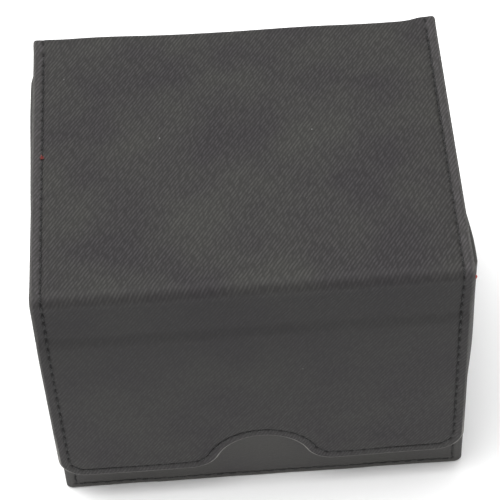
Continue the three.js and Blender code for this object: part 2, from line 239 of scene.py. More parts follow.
def flap_outline():
    """Points (x, s) down the left side, round the bottom with its thumb notch and up the right side, and
    the direction into the flap at each."""
    meet = math.atan2(NOTCH_SHOULDER, math.sqrt((NOTCH + NOTCH_SHOULDER) ** 2 - NOTCH_SHOULDER ** 2))
    shoulder_x = math.sqrt((NOTCH + NOTCH_SHOULDER) ** 2 - NOTCH_SHOULDER ** 2)
    corner_x = HALF - FLAP_CORNER
    points, inward = [], []

    def run(start, end, direction):
        steps = max(1, round(math.dist(start, end) / STATION))
        for t in np.linspace(0, 1, steps, endpoint=False):
            points.append(np.array(start) * (1 - t) + np.array(end) * t)
            inward.append(np.array(direction, float))

    def arc(centre, radius, start, end, sign):
        steps = round(abs(end - start) * radius / STATION)
        for angle in np.linspace(start, end, steps, endpoint=False):
            spoke = np.array([math.cos(angle), -math.sin(angle)])
            points.append(np.array(centre) + radius * spoke)
            inward.append(sign * spoke)

    run((-HALF, S_MIDDLE_OF_BAND), (-HALF, S_END - FLAP_CORNER), (1, 0))
    arc((-corner_x, S_END - FLAP_CORNER), FLAP_CORNER, math.pi, 1.5 * math.pi, -1)
    run((-corner_x, S_END), (-shoulder_x, S_END), (0, -1))
    arc((-shoulder_x, S_END - NOTCH_SHOULDER), NOTCH_SHOULDER, -math.pi / 2, -meet, -1)
    arc((0, S_END), NOTCH, math.pi - meet, math.pi / 2, 1)
    points.append(np.array([0, S_END - NOTCH]))
    inward.append(np.array([0, -1.0]))
    half, half_in = np.array(points), np.array(inward)
    mirror = np.array([-1, 1])
    return np.vstack([half, half[-2::-1] * mirror]), np.vstack([half_in, half_in[-2::-1] * mirror])


OUTLINE, INWARD = flap_outline()


# ---------------- seams

def holes_along(line, pitch):
    """Needle holes at an even pitch along a line of points."""
    s = distance_along(line)
    places = np.linspace(0, s[-1], round(s[-1] / pitch) + 1)
    return np.stack([np.interp(places, s, line[:, k]) for k in (0, 1)], axis=1)


def cover_seam():
    """The cover's one line of top-stitching: a closed loop, from the bottom left of the back."""
    side = HALF - SEAM_INSET
    bottom = BOTTOM_SEAM + 0.2
    round_flap = OUTLINE + INWARD * SEAM_INSET
    return np.vstack([[-side, bottom], round_flap, [side, bottom], [-side + PITCH, bottom]])


COVER_HOLES = holes_along(cover_seam(), PITCH)


def hole_depth(a, b, holes, width=0.25, reach=0.40):
    """How strongly each place lies in a needle hole, from 0 to 1. A hole is a slot along its seam, with
    this reach to each side."""
    found = np.zeros(np.shape(a))
    flat_a, flat_b, flat = np.ravel(a), np.ravel(b), found.reshape(-1)
    ahead = unit(np.gradient(holes, axis=0))
    for (x, y), (along_x, along_y) in zip(holes, ahead):
        limit = reach + 3 * width
        near = (np.abs(flat_a - x) < limit) & (np.abs(flat_b - y) < limit)
        da, db = flat_a[near] - x, flat_b[near] - y
        along = np.clip(da * along_x + db * along_y, -reach, reach)
        distance = np.hypot(da - along * along_x, db - along * along_y)
        flat[near] = np.maximum(flat[near], bell(distance, width))
    return found


def pucker(a, b, holes):
    """The leather drawn in round each hole, wider and softer than the hole."""
    return hole_depth(a, b, holes, 1.0, 0.3)


# ---------------- relief

def waviness(x, s):
    """The slow unevenness of glued leather."""
    return (
        0.07 * np.sin(x / 13 + 0.6) * np.sin(s / 17 + 1.1)
        + 0.05 * np.sin(x / 7.3 - s / 11 + 2.0)
        + 0.03 * np.sin(x / 4.1 + s / 5.3)
    )


CROWN_HEIGHT = 0.22
GROOVE_DEPTH = 0.16
BEAD_HEIGHT = 0.05
PIT_DEPTH = 0.36
PUCKER_DEPTH = 0.1
LEFT_CORNER_LIFT = 0.25
RIGHT_CORNER_LIFT = 0.85


def cover_relief(x, s, inset, pit):
    """Height of the cover's face: a crowned middle, a drawn-in seam and a beaded margin."""
    at_back_fold = bell(s - S_BACK_FOLD - 2.0, 4.5)
    crown = CROWN_HEIGHT * smooth(SEAM_INSET + 0.2, MARGIN_INSET + 1.5, inset) * (1 - 0.9 * at_back_fold)
    groove = -GROOVE_DEPTH * bell(inset - SEAM_INSET, 0.55) * (1 - 0.8 * at_back_fold)
    bead = BEAD_HEIGHT * bell(inset - 1.2, 0.5)
    corner = np.where(x > 0, RIGHT_CORNER_LIFT, LEFT_CORNER_LIFT) * smooth(9.0, 2.5, HALF - np.abs(x))
    tilt = 0.25 + 0.95 * smooth(0, -45, x) - 0.4 * smooth(20, 44, x)
    proud = (corner + tilt) * at_back_fold
    return crown + groove + bead + proud + waviness(x, s) - PIT_DEPTH * pit


# ---------------- mesh making

def make_piece(name, points, faces, material, coords=None, wear=None):
    """A smooth piece of the object from points in millimetres."""
    mesh = bpy.data.meshes.new(name)
    mesh.from_pydata((np.asarray(points) * MM).tolist(), [], faces)
    mesh.validate()
    piece = bpy.data.objects.new(name, mesh)
    bpy.context.scene.collection.objects.link(piece)
    if coords is not None:
        corner = np.empty(len(mesh.loops), np.int32)
        mesh.loops.foreach_get("vertex_index", corner)
        layer = mesh.uv_layers.new(name="cloth")
        layer.data.foreach_set("uv", np.asarray(coords, np.float32)[corner].ravel())
    if wear is not None:
        layer = mesh.attributes.new("wear", "FLOAT_VECTOR", "POINT")
        layer.data.foreach_set("vector", np.asarray(wear, np.float32).ravel())
    tidy = bmesh.new()
    tidy.from_mesh(mesh)
    bmesh.ops.dissolve_degenerate(tidy, dist=1e-6, edges=tidy.edges)
    bmesh.ops.recalc_face_normals(tidy, faces=tidy.faces)
    tidy.to_mesh(mesh)
    tidy.free()
    mesh.shade_smooth()
    mesh.set_sharp_from_angle(angle=math.radians(48))
    mesh.materials.append(material)
    return piece


def grid_faces(rows, columns, closed=True):
    """Quads between neighbouring rows, round the columns when they close on themselves."""
    last = columns if closed else columns - 1
    faces = []
    for i in range(rows - 1):
        for j in range(last):
            k = (j + 1) % columns
            faces.append((i * columns + j, i * columns + k, (i + 1) * columns + k, (i + 1) * columns + j))
    return faces


def tube_faces(rows, columns):
    """The quads of a closed tube and its two ends."""
    first, last = list(range(columns))[::-1], list(range((rows - 1) * columns, rows * columns))
    return grid_faces(rows, columns) + [first, last]


# ---------------- the cover

def edge_section(thickness):
    """Insets and depths from the face, round the turned edge and back under it."""
    t = np.asarray(thickness, float)[:, None]
    outer = np.minimum(EDGE_ROUND, 0.48 * t)
    inner = np.minimum(EDGE_ROUND_BACK, 0.48 * t)
    ones = np.ones_like(t)
    face = np.array([MARGIN_INSET, 4.2, 3.75, 3.4, 3.1, 2.87, 2.63, 2.4, 2.1, 1.6, 1.05])
    turn = np.radians([8, 26, 44, 62, 78, 90])
    back = np.radians([0, 35, 65, 90])
    inset = [
        face * ones,
        outer * (1 - np.sin(turn)),
        np.zeros_like(t), np.zeros_like(t),
        inner * (1 - np.cos(back)),
        LEATHER * ones - 0.1, LEATHER * ones,
        LEATHER * ones, LEATHER * ones + 0.2, MARGIN_INSET * ones,
    ]
    depth = [
        0 * face * ones,
        outer * (1 - np.cos(turn)),
        outer + (t - inner - outer) / 3, outer + (t - inner - outer) * 2 / 3,
        t - inner + inner * np.sin(back),
        t, t - 0.02,
        LEATHER * ones + 0.03, LEATHER * ones, LEATHER * ones,
    ]
    return np.hstack(inset), np.hstack(depth)


def edge_distance(inset, depth):
    """Distance round the section from the start of its margin, so that a texture wraps the edge evenly."""
    steps = np.hypot(np.diff(inset, axis=1), np.diff(depth, axis=1))
    return np.hstack([np.zeros((len(inset), 1)), np.cumsum(steps, axis=1)])


def masks_of(inset, depth, pit):
    """(margin outside the seam, rim, needle hole) at each place of a face: masks for the painted highlight
    on the margin, the pale rim (partly edge wear, partly painted highlight) and the painted shade in the
    holes.
    """
    on_face = smooth(1.3, 0.2, depth)
    margin = smooth(SEAM_INSET + 0.5, SEAM_INSET - 0.3, inset)
    rim = smooth(0.8, 0.42, inset) * smooth(1.0, 0.35, depth)
    return np.stack([margin, rim, pit * on_face], axis=-1)


FACE_COLUMNS = 44


def panel_strip(name, s_from, s_to, material):
    """A stretch of the cover between two places along it, whole from side to side."""
    first, last = math.ceil(s_from / STATION + 0.01), math.floor(s_to / STATION - 0.01)
    s = np.concatenate([[s_from], np.arange(first, last + 1) * STATION, [s_to]])
    if s_from == 0:
        s = np.concatenate([[0, 0.06, 0.18], s[1:]])
    inset, depth = edge_section(cover_thickness(s))
    around = edge_distance(inset, depth)
    columns = np.linspace(-(HALF - MARGIN_INSET), HALF - MARGIN_INSET, FACE_COLUMNS)[1:-1]
    inner_columns = columns[::-6]
    rows = len(s)

    def on_rows(values):
        return np.tile(values, (rows, 1))

    x = np.hstack([on_rows(columns), HALF - inset, on_rows(inner_columns), (inset - HALF)[:, ::-1]])
    u = np.hstack([
        on_rows(columns), HALF - MARGIN_INSET + around,
        on_rows(inner_columns), -(HALF - MARGIN_INSET + around)[:, ::-1],
    ])
    middle_in, middle_deep = HALF - np.abs(on_rows(columns)), np.zeros((rows, len(columns)))
    back_in, back_deep = HALF - np.abs(on_rows(inner_columns)), np.full((rows, len(inner_columns)), LEATHER)
    inset = np.hstack([middle_in, inset, back_in, inset[:, ::-1]])
    depth = np.hstack([middle_deep, depth, back_deep, depth[:, ::-1]])
    along = np.tile(s[:, None], (1, x.shape[1]))
    return finish_cover(name, x, along, inset, depth, u, tube_faces(*x.shape), material)


HEM = 0.4


def finish_cover(name, x, s, inset, depth, u, faces, material):
    """Lays the points of a stretch of the cover on its route, with their relief."""
    pit = hole_depth(x, s, COVER_HOLES)
    relief = cover_relief(x, s, inset, pit) - PUCKER_DEPTH * pucker(x, s, COVER_HOLES)
    on_face = smooth(LEATHER, 0.35, depth)
    thickness = cover_thickness(s)
    hem = HEM * (1 - np.sqrt(np.clip(1 - (1 - np.clip(s, 0, HEM) / HEM) ** 2, 0, 1)))
    sunk = np.clip(depth, hem, thickness - hem)
    points = on_cover(x, s, relief * on_face - sunk)
    coords = np.stack([u, s], axis=-1).reshape(-1, 2)
    wear = masks_of(inset, depth, pit).reshape(-1, 3)
    return make_piece(name, points.reshape(-1, 3), faces, material, coords, wear)


RING_CLEARANCE = 0.8


def fill_inside(ring, rows, spacing):
    """Triangles that fill a ring of places, with places of their own on the given rows. The ring's
    indices come first."""
    xs = ring[:, 0]
    inner = []
    for s in rows:
        crossings = []
        for (xa, sa), (xb, sb) in zip(ring, np.roll(ring, -1, axis=0)):
            if (sa - s) * (sb - s) < 0:
                crossings.append(xa + (xb - xa) * (s - sa) / (sb - sa))
        crossings.sort()
        for left, right in zip(crossings[::2], crossings[1::2]):
            grid = np.arange(math.ceil(xs.min() / spacing), xs.max() / spacing) * spacing
            inner += [(x, s) for x in grid if left + RING_CLEARANCE < x < right - RING_CLEARANCE]
    places = np.vstack([ring, np.array(inner)])
    found = delaunay_2d_cdt([Vector(p) for p in places], [], [list(range(len(ring)))], 1, 1e-6)
    source = [origin[0] for origin in found[3]]
    return np.array(inner), [tuple(source[v] for v in face) for face in found[2]]


FACE_SPACING = 2.5
FINE_ROWS = 0.45
COARSE_ROWS = 2.0


def outlined_sheet(s_from, section):
    """A sheet with the flap's outline below s_from, as places x and s, insets, depths, texture places u and
    v, and faces. section(s) gives the insets and depths round its edge, from the middle of the face to
    the middle of the back."""
    start = int(np.argmax(OUTLINE[:, 1] >= s_from - 1e-6))
    keep = slice(start, len(OUTLINE) - start)
    edge, inward = OUTLINE[keep], INWARD[keep]
    inset, depth = section(edge[:, 1])
    n, m = inset.shape
    places = edge[:, None, :] + inward[:, None, :] * inset[:, :, None]
    faces = grid_faces(n, m, closed=False)
    rows = np.concatenate([
        np.arange(s_from + 0.6, S_CREASE + 6, FINE_ROWS),
        np.arange(S_CREASE + 7, S_END - MARGIN_INSET, COARSE_ROWS),
    ])
    rows = rows[rows > s_from + 0.3]
    ends = []
    x, s = [places[..., 0].ravel()], [places[..., 1].ravel()]
    insets, depths = [inset.ravel()], [depth.ravel()]
    around = edge_distance(inset, depth)
    u = [(edge[:, None, 0] + inward[:, None, 0] * (MARGIN_INSET - around)).ravel()]
    v = [(edge[:, None, 1] + inward[:, None, 1] * (MARGIN_INSET - around)).ravel()]
    count = n * m
    for column, flip in ((0, False), (m - 1, True)):
        ring = places[:, column, :]
        top_x = np.arange(-19, 20) * FACE_SPACING
        top = np.stack([top_x[::-1], np.full(len(top_x), ring[0, 1])], axis=1)
        top = top[np.abs(top[:, 0]) < abs(ring[0, 0]) - RING_CLEARANCE]
        loop = np.vstack([ring, top])
        inner, triangles = fill_inside(loop, rows, FACE_SPACING)
        index = np.concatenate([np.arange(n) * m + column, count + np.arange(len(top) + len(inner))])
        faces += [tuple(int(index[k]) for k in (t[::-1] if flip else t)) for t in triangles]
        ends.append([int(k) for k in count + np.arange(len(top))])
        extra = np.vstack([top, inner])
        count += len(extra)
        x.append(extra[:, 0])
        s.append(extra[:, 1])
        u.append(extra[:, 0])
        v.append(extra[:, 1])
        insets.append(np.full(len(extra), MARGIN_INSET + 2.0))
        depths.append(np.interp(extra[:, 1], edge[: n // 2, 1], depth[: n // 2, column]))
    cap = list(range(m)) + ends[1][::-1] + [(n - 1) * m + j for j in range(m)][::-1] + ends[0]
    faces.append(cap)
    return *(np.concatenate(part) for part in (x, s, insets, depths, u, v)), faces


# ---------------- stitches

STITCH_STEPS = 11
STITCH_SIDES = 8
STITCH_TRIM = 0.6
STITCH_SLANT = 0.09
STITCH_SINK = 0.08
STITCH_PLUNGE = 0.6


def make_tubes(name, lines, sides, material):
    """Closed tubes, one round each line of points. A line is (points, upward direction, radii, texture
    places along it)."""
    points, faces, coords = [], [], []
    angles = 2 * math.pi * np.arange(sides) / sides
    turn_a, turn_b = np.cos(angles)[:, None], np.sin(angles)[:, None]
    for centre, up, radius, along in lines:
        ahead = unit(np.gradient(centre, axis=0))
        side = unit(np.cross(ahead, up))
        lift = np.cross(side, ahead)
        spokes = turn_a * side[:, None, :] + turn_b * lift[:, None, :]
        base = sum(len(ring) for ring in points)
        points.append((centre[:, None, :] + radius[:, None, None] * spokes).reshape(-1, 3))
        girth = np.tile(angles * radius.max(), len(centre))
        coords.append(np.stack([np.repeat(along, sides), girth], axis=-1))
        faces += [tuple(base + k for k in face) for face in tube_faces(len(centre), sides)]
    return make_piece(name, np.vstack(points), faces, material, np.vstack(coords))


def stitch_pairs(name, pairs, place):
    """A thread stitch from one needle hole to the next, for each pair. place(a, b, height) puts it on its
    panel."""
    t = np.linspace(0, 1, STITCH_STEPS)
    from_middle = np.abs(2 * t - 1)
    radius = THREAD_RADIUS * (1 - 0.45 * from_middle ** 4)
    height = -STITCH_SINK - STITCH_PLUNGE * from_middle ** 5
    slant = STITCH_SLANT * (2 * t - 1)
    lines = []
    for number, (start, end) in enumerate(pairs):
        length = np.linalg.norm(end - start)
        ahead = (end - start) / length
        across = np.array([-ahead[1], ahead[0]])
        trim = STITCH_TRIM / length
        share = trim + (1 - 2 * trim) * t
        line = start + share[:, None] * (end - start) + slant[:, None] * across
        centre = place(line[:, 0], line[:, 1], height)
        up = unit(place(line[:, 0], line[:, 1], height + 1) - centre)
        lines.append((centre, up, radius, number * PITCH + share * length))
    return make_tubes(name, lines, STITCH_SIDES, THREAD)


# ---------------- material tools

class Surface:
    """A procedural material. Its texture places are the piece's own millimetres, laid flat."""

    def __init__(self, name):
        self.material = bpy.data.materials.new(name)
        self.material.use_nodes = True
        self.nodes = self.material.node_tree.nodes
        self.links = self.material.node_tree.links
        self.shader = self.nodes["Principled BSDF"]

    def add(self, kind, inputs=(), **settings):
        made = self.nodes.new("ShaderNode" + kind)
        for key, value in settings.items():
            setattr(made, key, value)
        for key, value in dict(inputs).items():
            if isinstance(value, bpy.types.NodeSocket):
                self.links.new(value, made.inputs[key])
            else:
                made.inputs[key].default_value = value
        return made

    def flat(self, turn=0.0, scale=(1, 1, 1)):
        """Places on the flat sheet, turned and scaled."""
        cloth = self.add("UVMap", uv_map="cloth").outputs["UV"]
        mapping = self.add("Mapping", {"Vector": cloth})
        mapping.inputs["Rotation"].default_value = (0, 0, math.radians(turn))
        mapping.inputs["Scale"].default_value = scale
        return mapping.outputs["Vector"]

    def noise(self, place, scale, detail=2.0, roughness=0.5):
        inputs = {"Vector": place, "Scale": scale, "Detail": detail, "Roughness": roughness}
        return self.add("TexNoise", inputs).outputs["Fac"]

    def math(self, operation, a, b):
        return self.add("Math", {0: a, 1: b}, operation=operation).outputs["Value"]

    def times(self, a, b):
        return self.math("MULTIPLY", a, b)

    def remap(self, value, low, high, to_low=0.0, to_high=1.0):
        inputs = {"Value": value, "From Min": low, "From Max": high, "To Min": to_low, "To Max": to_high}
        return self.add("MapRange", inputs).outputs["Result"]

    def mix(self, share, first, second):
        made = self.add("Mix", data_type="RGBA")
        for socket, value in ((0, share), (6, first), (7, second)):
            if isinstance(value, bpy.types.NodeSocket):
                self.links.new(value, made.inputs[socket])
            else:
                made.inputs[socket].default_value = value
        return made.outputs[2]

    def wear(self):
        """(margin, rim, hole) as the mesh says."""
        vector = self.add("Attribute", attribute_name="wear").outputs["Vector"]
        split = self.add("SeparateXYZ", {"Vector": vector})
        return [split.outputs[k] for k in range(3)]

    def finish(self, colour, height, bump_mm, **fixed):
        self.links.new(colour, self.shader.inputs["Base Color"])
        bump = self.add("Bump", {"Height": height, "Strength": 1.0, "Distance": bump_mm * MM})
        self.links.new(bump.outputs["Normal"], self.shader.inputs["Normal"])
        for key, value in fixed.items():
            self.shader.inputs[key.replace("_", " ")].default_value = value
        return self.material


def grey(value, warmth=0.0):
    return (value * (1 + warmth), value, value * (1 - warmth), 1)


def plum(value):
    """A grey with a breath of purple."""
    return (value * 1.06, value * 0.98, value * 1.03, 1)


def olive(value):
    """A grey with a breath of yellow-green."""
    return (value * 1.02, value, value * 0.93, 1)


# ---------------- materials

TWILL_PITCH = 0.84
TWILL_TURN = -33.5
THREAD_PITCH = 0.42
THREAD_TURN = 38
WAVE_UNIT = math.pi / 10


def twill_leather():
    """Charcoal leathercloth embossed with broken diagonal twill ribs."""
    m = Surface("twill_leather")
    margin, rim, hole = m.wear()
    along = m.add("SeparateXYZ", {"Vector": m.flat()}).outputs["Y"]
    on_flap = m.remap(along, S_LID_END, S_CREASE + 10)
    ribs = m.add("TexWave", {
        "Vector": m.flat(TWILL_TURN), "Scale": WAVE_UNIT / TWILL_PITCH, "Distortion": 1.8, "Detail": 2.0,
        "Detail Scale": 1.0, "Detail Roughness": 0.6,
    }).outputs["Fac"]
    breaks = m.noise(m.flat(TWILL_TURN, (1 / TWILL_PITCH, 0.42, 1)), 1.0, 2.0)
    broken = m.times(ribs, m.remap(breaks, 0.36, 0.62, 0.2, 1.0))
    grain = m.noise(m.flat(), 3.2, 3.0, 0.7)
    height = m.math("ADD", broken, m.times(grain, 0.6))
    clouds = m.remap(m.noise(m.flat(), 0.045, 3.0, 0.5), 0.36, 0.64)
    dark = m.mix(clouds, plum(0.0128), olive(0.0195))
    light = m.mix(clouds, plum(0.0370), olive(0.0480))
    # The rib tops are painted lighter than the grooves: partly wear, partly a painted highlight.
    colour = m.mix(m.remap(height, 0.15, 1.15), dark, light)
    # Painted highlight: the margin outside the seam is painted paler, more on the lid than on the flap.
    painted_margin_highlight = m.mix(m.remap(height, 0.15, 1.15), olive(0.026), plum(0.062))
    colour = m.mix(m.times(margin, m.remap(on_flap, 0, 1, 0.75, 0.35)), colour, painted_margin_highlight)
    # Painted shade: the leather past the front fold is painted darker, darkest on the band and fading down
    # the flap.
    past_fold = m.remap(along, S_LID_END + 1, S_LID_END + 6)
    painted_band_shade = m.times(past_fold, m.remap(along, S_CREASE + 55, S_CREASE - 2, 0.42, 1.0))
    colour = m.mix(m.times(painted_band_shade, 0.72), colour, plum(0.0120))
    # Painted highlight: the arc of the front fold is painted lighter.
    onto_fold = m.remap(along, S_LID_END - 0.5, S_LID_END + 1.5)
    painted_fold_highlight = m.times(onto_fold, m.remap(along, S_LID_END + 5.5, S_LID_END + 3.0))
    colour = m.mix(m.times(painted_fold_highlight, 0.14), colour, plum(0.0480))
    # The rim is painted pale grey in patches, most near the flap's end: partly edge wear, partly a painted
    # highlight where the rounded edge catches light.
    patchy = m.remap(m.noise(m.flat(), 0.5, 3.0), 0.25, 0.7, 0.5, 1.0)
    near_end = m.remap(along, S_END - 20, S_END - 9, 0.25, 1.0)
    lighter_rim = m.times(m.times(rim, patchy), near_end)
    colour = m.mix(lighter_rim, colour, olive(0.185))
    specks = m.add("TexVoronoi", {"Vector": m.flat(), "Scale": 0.075, "Randomness": 1.0})
    lint = m.times(m.remap(specks.outputs["Distance"], 0.018, 0.008), m.remap(margin, 0.1, 0))
    colour = m.mix(m.times(lint, 0.6), colour, grey(0.30))
    # Painted shade: the needle holes are painted near-black.
    colour = m.mix(m.times(hole, 0.9), colour, grey(0.003))
    return m.finish(colour, height, 0.07, Roughness=0.66, Specular_IOR_Level=0.18)


def smooth_leather():
    """Charcoal leathercloth with a fine pebble grain."""
    m = Surface("smooth_leather")
    margin, rim, hole = m.wear()
    pebbles = m.add("TexVoronoi", {"Vector": m.flat(), "Scale": 1.9, "Smoothness": 0.6}, feature="SMOOTH_F1")
    grain = m.noise(m.flat(), 4.5, 3.0, 0.6)
    pebbled = m.times(pebbles.outputs["Distance"], 0.9)
    height = m.math("ADD", pebbled, m.times(grain, 0.5))
    clouds = m.remap(m.noise(m.flat(), 0.05, 3.0), 0.3, 0.7)
    colour = m.mix(clouds, plum(0.0295), olive(0.0355))
    colour = m.mix(m.remap(height, 0.2, 1.0, 0.0, 0.5), colour, olive(0.044))
    colour = m.mix(m.times(margin, 0.3), colour, olive(0.052))
    colour = m.mix(m.times(rim, 0.5), colour, olive(0.070))
    # Painted shade: the needle holes are painted near-black.
    colour = m.mix(m.times(hole, 0.8), colour, grey(0.003))
    return m.finish(colour, height, 0.05, Roughness=0.6, Specular_IOR_Level=0.2)


def red_lining():
    """Short-pile red microfibre, brushed into soft streaks."""
    m = Surface("red_lining")
    pile = m.noise(m.flat(12, (1.0, 0.55, 1)), 5.5, 4.0, 0.7)
    streaks = m.noise(m.flat(12, (1.0, 0.2, 1)), 0.5, 3.0, 0.6)
    brushed = m.mix(m.remap(streaks, 0.35, 0.65), (0.235, 0.016, 0.013, 1), (0.36, 0.033, 0.024, 1))
    colour = m.mix(m.remap(pile, 0.3, 0.7, 0.0, 0.7), brushed, (0.44, 0.059, 0.043, 1))
    fixed = {"Roughness": 0.95, "Specular_IOR_Level": 0.12, "Sheen_Weight": 0.35, "Sheen_Roughness": 0.45}
    return m.finish(colour, pile, 0.12, **fixed)


def black_thread():
    """Two-ply polyester thread."""
    m = Surface("black_thread")
    twist = {"Vector": m.flat(THREAD_TURN), "Scale": WAVE_UNIT / THREAD_PITCH, "Distortion": 0.4}
    plies = m.add("TexWave", twist).outputs["Fac"]
    fuzz = m.noise(m.flat(), 9.0, 2.0)
    # The ply crests are painted lighter: a painted highlight.
    colour = m.mix(plies, grey(0.014), grey(0.042))
    height = m.math("ADD", plies, m.times(fuzz, 0.4))
    return m.finish(colour, height, 0.06, Roughness=0.75, Specular_IOR_Level=0.2)


def placed(m, scale=(1, 1, 1)):
    """Places in the frame, in millimetres, for a CAD node that has no flat sheet of its own."""
    place = m.add("TexCoord").outputs["Object"]
    mapping = m.add("Mapping", {"Vector": place})
    mapping.inputs["Scale"].default_value = [value / MM for value in scale]
    return mapping.outputs["Vector"]


def greyboard():
    """Uncoated pressed board with flecks of fibre."""
    m = Surface("greyboard")
    fibres = m.noise(placed(m, (1, 1, 2.5)), 0.8, 5.0, 0.65)
    flecks = m.noise(placed(m), 2.6, 2.0)
    colour = m.mix(m.remap(fibres, 0.35, 0.65), (0.17, 0.15, 0.115, 1), (0.25, 0.225, 0.18, 1))
    colour = m.mix(m.remap(flecks, 0.62, 0.7, 0.0, 0.6), colour, (0.12, 0.10, 0.08, 1))
    return m.finish(colour, fibres, 0.1, Roughness=0.92, Specular_IOR_Level=0.2)


def magnet_steel():
    """Nickel plate with fine turning marks."""
    m = Surface("magnet_steel")
    marks = m.noise(placed(m, (1, 0.2, 1)), 3.0, 4.0, 0.6)
    colour = m.mix(m.remap(marks, 0.35, 0.65), grey(0.50), grey(0.62, 0.01))
    return m.finish(colour, marks, 0.01, Roughness=0.28, Metallic=1.0)


def pale_floor():
    """The plain pale floor, with a trace of unevenness."""
    m = Surface("pale_floor")
    drift = m.noise(placed(m), 0.01, 2.0)
    colour = m.mix(drift, grey(0.90), grey(0.93))
    return m.finish(colour, drift, 0.02, Roughness=0.8, Specular_IOR_Level=0.1)


TWILL, SMOOTH, RED, THREAD = twill_leather(), smooth_leather(), red_lining(), black_thread()
BOARD, STEEL = greyboard(), magnet_steel()


# ---------------- camera and light

CAMERA_AZIMUTH = -0.3
CAMERA_ELEVATION = 49.9
CAMERA_ROLL = -3.7
CAMERA_DISTANCE = 5.17
CAMERA_LENS = 147.9
AIM = (0.002, 0.007)
AIM_BELOW_TOP = 40
SENSOR_WIDTH = 36

SKY_LEVEL = 0.28
ZENITH_LEVEL = 1.25
SUN_PLACE = (-0.28, 0.10, 1.0)
SUN_SPREAD = 50
SUN_ENERGY = 2.9
FILL_X = 0.01
FILL_DISTANCE = 0.065
FILL_HEIGHT = 0.006
FILL_AIM_HEIGHT = 0.012
FILL_ENERGY = 0.036
FLOOR_HALF = 3000
FLOOR_STEPS = 24


def add_camera():
    azimuth, elevation, roll = (math.radians(v) for v in (CAMERA_AZIMUTH, CAMERA_ELEVATION, CAMERA_ROLL))
    back = Vector((
        math.sin(azimuth) * math.cos(elevation),
        -math.cos(azimuth) * math.cos(elevation),
        math.sin(elevation),
    ))
    right = Vector((math.cos(azimuth), math.sin(azimuth), 0))
    up = back.cross(right)
    turned_right = right * math.cos(roll) + up * math.sin(roll)
    turned_up = up * math.cos(roll) - right * math.sin(roll)
    width = 2 * HALF * MM
    target = Vector((AIM[0] * width, AIM[1] * width, (TOP - AIM_BELOW_TOP) * MM))
    data = bpy.data.cameras.new("camera")
    data.lens, data.sensor_width = CAMERA_LENS, SENSOR_WIDTH
    camera = bpy.data.objects.new("camera", data)
    axes = Matrix((turned_right, turned_up, back)).transposed().to_4x4()
    camera.matrix_world = Matrix.Translation(target + back * CAMERA_DISTANCE * width) @ axes
    bpy.context.scene.collection.objects.link(camera)
    bpy.context.scene.camera = camera


def add_lamp(name, kind, place, aim, energy, **settings):
    data = bpy.data.lights.new(name, kind)
    data.energy = energy
    for key, value in settings.items():
        setattr(data, key, value)
    lamp = bpy.data.objects.new(name, data)
    lamp.location = place
    lamp.rotation_mode = "QUATERNION"
    lamp.rotation_quaternion = (Vector(aim) - Vector(place)).to_track_quat("-Z", "Y")
    lamp.visible_camera = False
    bpy.context.scene.collection.objects.link(lamp)


def add_sky():
    """A white dome, brightest overhead."""
    world = bpy.data.worlds.new("studio")
    world.use_nodes = True
    nodes, links = world.node_tree.nodes, world.node_tree.links
    split = nodes.new("ShaderNodeSeparateXYZ")
    links.new(nodes.new("ShaderNodeTexCoord").outputs["Generated"], split.inputs["Vector"])
    strength = nodes.new("ShaderNodeMapRange")
    strength.inputs["To Min"].default_value = SKY_LEVEL
    strength.inputs["To Max"].default_value = ZENITH_LEVEL
    links.new(split.outputs["Z"], strength.inputs["Value"])
    links.new(strength.outputs["Result"], nodes["Background"].inputs["Strength"])
    nodes["Background"].inputs["Color"].default_value = (1, 1, 1, 1)
    bpy.context.scene.world = world


def add_studio():
    add_sky()
    add_lamp("sun", "SUN", SUN_PLACE, (0, 0, 0), SUN_ENERGY, angle=math.radians(SUN_SPREAD))
    front = FRONT * MM
    place = (FILL_X, front - FILL_DISTANCE, FILL_HEIGHT)
    aim = (FILL_X, front, FILL_AIM_HEIGHT)
    add_lamp("low_fill", "AREA", place, aim, FILL_ENERGY, shape="RECTANGLE", size=0.22, size_y=0.01)
    bpy.context.scene.view_settings.view_transform = "Standard"
    line = np.linspace(-FLOOR_HALF, FLOOR_HALF, FLOOR_STEPS)
    grid = np.array([(x, y, 0) for y in line for x in line])
    floor = make_piece("floor", grid, grid_faces(FLOOR_STEPS, FLOOR_STEPS, closed=False), pale_floor())


# ---------------- moving with CAD

def hinge_line(start, inner, direction):
    """The stretch of a blend: from start, along direction, to where the place `inner` is wholly past it."""
    reach = (inner - start) @ direction / (direction @ direction)
    return start, start + direction * reach


BAND_DEPTH = 1.8
BEND_ABOVE_CREASE = 1.4
BEND_BELOW_CREASE = 1.6
LID_HINGE = hinge_line(
    np.array([0, BODY_BACK, RIM]),
    np.array([0, LID_HIGH.y, LID_LOW.z]),
    np.array([0, -1, 0.5]),
)
BAND_HINGE = hinge_line(
    np.array([0, LID_LOW.y, LID_LOW.z]),
    np.array([0, FRONT + BAND_DEPTH, RIM]),
    np.array([0, -1, -0.5]),
)
FLAP_HINGE = (
    np.array([0, FRONT, CREASE_HEIGHT + BEND_ABOVE_CREASE]),
    np.array([0, FRONT, CREASE_HEIGHT - BEND_BELOW_CREASE]),
)


def assign(nodes):
    if nodes:
        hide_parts(*nodes)


def bend(piece, first, second, line, slot, *nodes):
    """Bakes the piece's placement into its mesh and hides the CAD nodes it stands for."""
    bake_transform(piece)
    assign(nodes)


def follow(piece, body, slot, *nodes):
    """The piece moves with one body."""
    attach(piece, body)
    assign(nodes)


# ---------------- the cover

